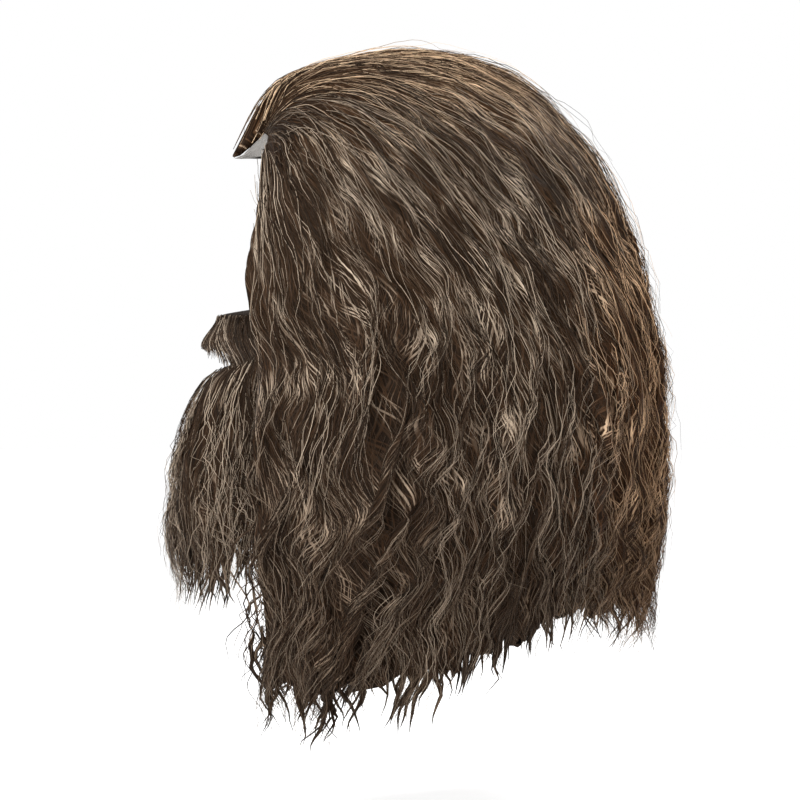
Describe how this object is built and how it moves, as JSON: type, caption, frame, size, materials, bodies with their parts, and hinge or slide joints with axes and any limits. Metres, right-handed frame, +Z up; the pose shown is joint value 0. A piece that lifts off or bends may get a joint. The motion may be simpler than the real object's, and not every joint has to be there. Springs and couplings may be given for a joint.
{
  "type": "wig with beard",
  "caption": "Long wavy brown wig swept back to a pointed front, with a separate full beard and moustache on a strap, at its worn shape.",
  "frame": {"origin": "the top of the head that the set is worn on: the highest point of the cap's inner face, on the middle plane", "axes": "+Z up, the face looks along -Y, and +X is the wearer's left"},
  "size_m": [0.284, 0.3292, 0.4465],
  "materials": {
    "hair": "satin synthetic hair",
    "beard": "satin synthetic hair",
    "cap_net": "matte stretch net",
    "lace": "pale matte net",
    "elastic": "matte woven elastic"
  },
  "bodies": {
    "root": {"wig_cap": "cap_net", "lace_front": "lace", "front_peak": "hair", "back_hair": "hair", "left_hair": "hair", "right_hair": "hair", "beard_base": "cap_net", "beard_hair": "beard", "moustache": "beard", "beard_strap": "elastic"}
  },
  "joints": []
}
